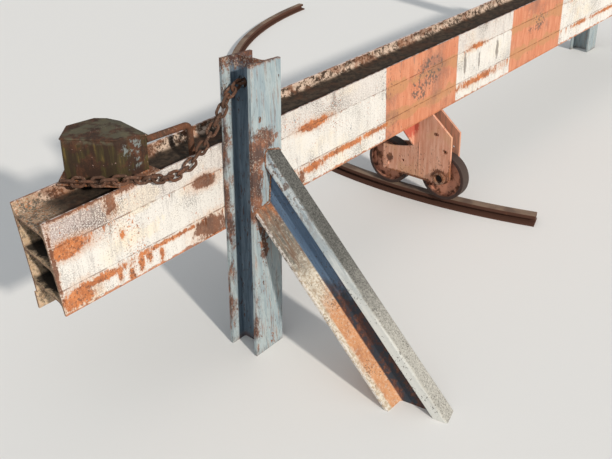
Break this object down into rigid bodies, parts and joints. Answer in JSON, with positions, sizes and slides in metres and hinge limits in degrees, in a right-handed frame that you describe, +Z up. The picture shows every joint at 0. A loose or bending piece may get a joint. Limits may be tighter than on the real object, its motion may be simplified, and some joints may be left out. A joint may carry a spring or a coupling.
{
  "type": "swinging railway stop beam",
  "caption": "Swinging barrier beam of stacked I-sections on a wheeled carriage and curved rail, resting against a raked stop post, with lock box and chain",
  "frame": {"origin": "centre of the stop post's foot, at ground level", "axes": "+X along the beam from its free end to its pivot, +Y the way the beam swings open, +Z up"},
  "size_m": [4.9206, 3.9837, 1.1002],
  "materials": {
    "post_paint": "faded pale blue paint, rust at the edges",
    "raker_paint": "worn grey-blue paint with lichen, orange rust inside",
    "barrier_paint": "faded white and red bands with rust runs",
    "carriage_paint": "faded salmon-red paint",
    "box_paint": "olive-brown paint over rust",
    "rusted_steel": "bare rusted steel",
    "wheel_iron": "rust brown with a worn tread",
    "rail_steel": "dark brown rust",
    "chain_steel": "rusted links"
  },
  "bodies": {
    "root": {"stop_post": "post_paint", "raker": "raker_paint", "pivot_post": "post_paint", "pivot_lug_lower": "post_paint", "pivot_lug_upper": "post_paint", "pivot_pin": "rusted_steel", "curved_rail": "rail_steel", "chain_post_run": "chain_steel", "chain_toggle": "chain_steel"},
    "beam": {"beam_lower": "barrier_paint", "beam_middle": "barrier_paint", "beam_upper": "barrier_paint", "beam_end_tab": "barrier_paint", "hinge_strap_lower": "rusted_steel", "hinge_strap_upper": "rusted_steel", "carriage_front_plate": "carriage_paint", "carriage_back_plate": "carriage_paint", "carriage_front_rib": "carriage_paint", "carriage_back_rib": "carriage_paint", "axle_near": "rusted_steel", "axle_far": "rusted_steel", "axle_boss": "rusted_steel", "lock_box": "box_paint", "lock_box_lid": "box_paint", "lock_box_base": "rusted_steel", "grab_handle": "rusted_steel", "chain_box_run": "chain_steel"},
    "wheel_near": {"wheel_near": "wheel_iron"},
    "wheel_far": {"wheel_far": "wheel_iron"}
  },
  "joints": [
    {"name": "beam_swing", "type": "hinge", "parent": "root", "child": "beam", "pos_m": [4.1, 0.39, 0.56], "axis": [0, 0, -1], "range_deg": [0, 75], "deforming": ["chain_post_run", "chain_box_run"]},
    {"name": "wheel_near_spin", "type": "hinge", "parent": "beam", "child": "wheel_near", "pos_m": [1.348, 0.022, 0.1683], "axis": [1, 0, 0], "continuous": true},
    {"name": "wheel_far_spin", "type": "hinge", "parent": "beam", "child": "wheel_far", "pos_m": [1.348, 0.338, 0.1683], "axis": [1, 0, 0], "continuous": true}
  ]
}
